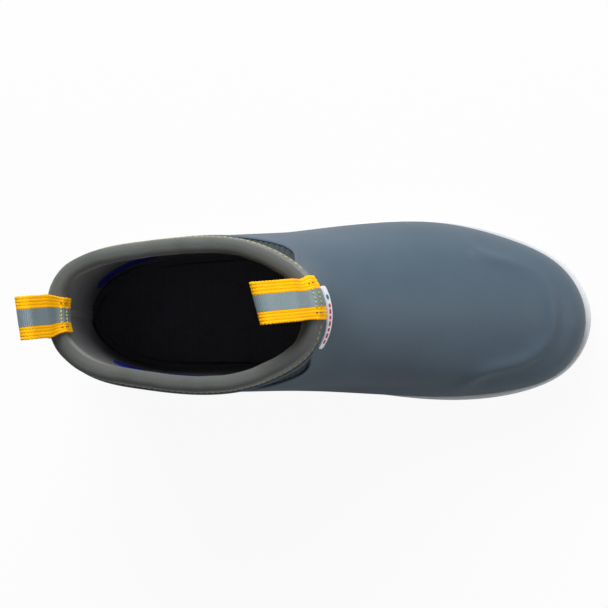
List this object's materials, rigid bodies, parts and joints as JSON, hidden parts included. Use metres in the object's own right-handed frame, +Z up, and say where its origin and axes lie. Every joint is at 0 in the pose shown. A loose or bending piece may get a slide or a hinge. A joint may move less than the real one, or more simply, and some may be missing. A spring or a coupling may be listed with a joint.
{
  "type": "ankle deck boot",
  "caption": "Ankle-height waterproof rubber deck boot for the left foot, with stretch side panels, a sock lining, a siped cup sole and webbing pull loops on hinges.",
  "frame": {"origin": "on the tread's flat face under the waist of the sole, on the boot's long axis", "axes": "+X from the heel to the toe, +Y towards the wearer's left (the boot's outer side), +Z up"},
  "size_m": [0.3147, 0.109, 0.1822],
  "materials": {
    "sole_rubber": "matte moulded non-marking rubber",
    "foxing_rubber": "matte moulded rubber",
    "midsole_foam": "closed-cell foam",
    "shank_steel": "plain",
    "board": "fibre board",
    "upper_rubber": "matte moulded rubber, fine grain",
    "gore_rubber": "ribbed stretch rubber",
    "stiffener": "plain",
    "neoprene": "closed-cell neoprene with a knit face",
    "footbed_foam": "moulded closed-cell foam",
    "footbed_fabric": "brushed knit",
    "binding_fabric": "fine woven tape",
    "olive_thread": "twisted thread",
    "label_rubber": "smooth",
    "label_print": "printed",
    "webbing": "ribbed woven tape",
    "reflective_tape": "grey reflective tape",
    "tab_thread": "twisted thread"
  },
  "bodies": {
    "boot": {"outsole": "sole_rubber", "foxing": "foxing_rubber", "midsole": "midsole_foam", "shank": "shank_steel", "insole_board": "board", "upper_shell": "upper_rubber", "outer_gore": "gore_rubber", "inner_gore": "gore_rubber", "toe_stiffener": "stiffener", "heel_counter": "stiffener", "sock": "neoprene", "footbed": "footbed_foam", "footbed_cloth": "footbed_fabric", "collar_binding": "binding_fabric", "collar_stitching": "olive_thread", "front_label": "label_rubber", "front_label_bars": "label_print", "front_tab_anchor": "webbing", "front_anchor_tape": "reflective_tape", "front_anchor_stitching": "tab_thread", "rear_tab_anchor": "webbing", "rear_anchor_tape": "reflective_tape", "rear_anchor_stitching": "tab_thread"},
    "front_loop": {"front_tab_loop": "webbing", "front_loop_tape": "reflective_tape"},
    "rear_loop": {"rear_tab_loop": "webbing", "rear_loop_tape": "reflective_tape"}
  },
  "joints": [
    {"name": "front_loop_fold", "type": "hinge", "parent": "boot", "child": "front_loop", "pos_m": [0.0012, 0.0085, 0.1551], "axis": [-0.0872, 0.9962, 0], "range_deg": [-20, 142]},
    {"name": "rear_loop_fold", "type": "hinge", "parent": "boot", "child": "rear_loop", "pos_m": [-0.1285, 0, 0.1551], "axis": [-0.0872, 0.9962, 0], "range_deg": [-56, 104]}
  ]
}
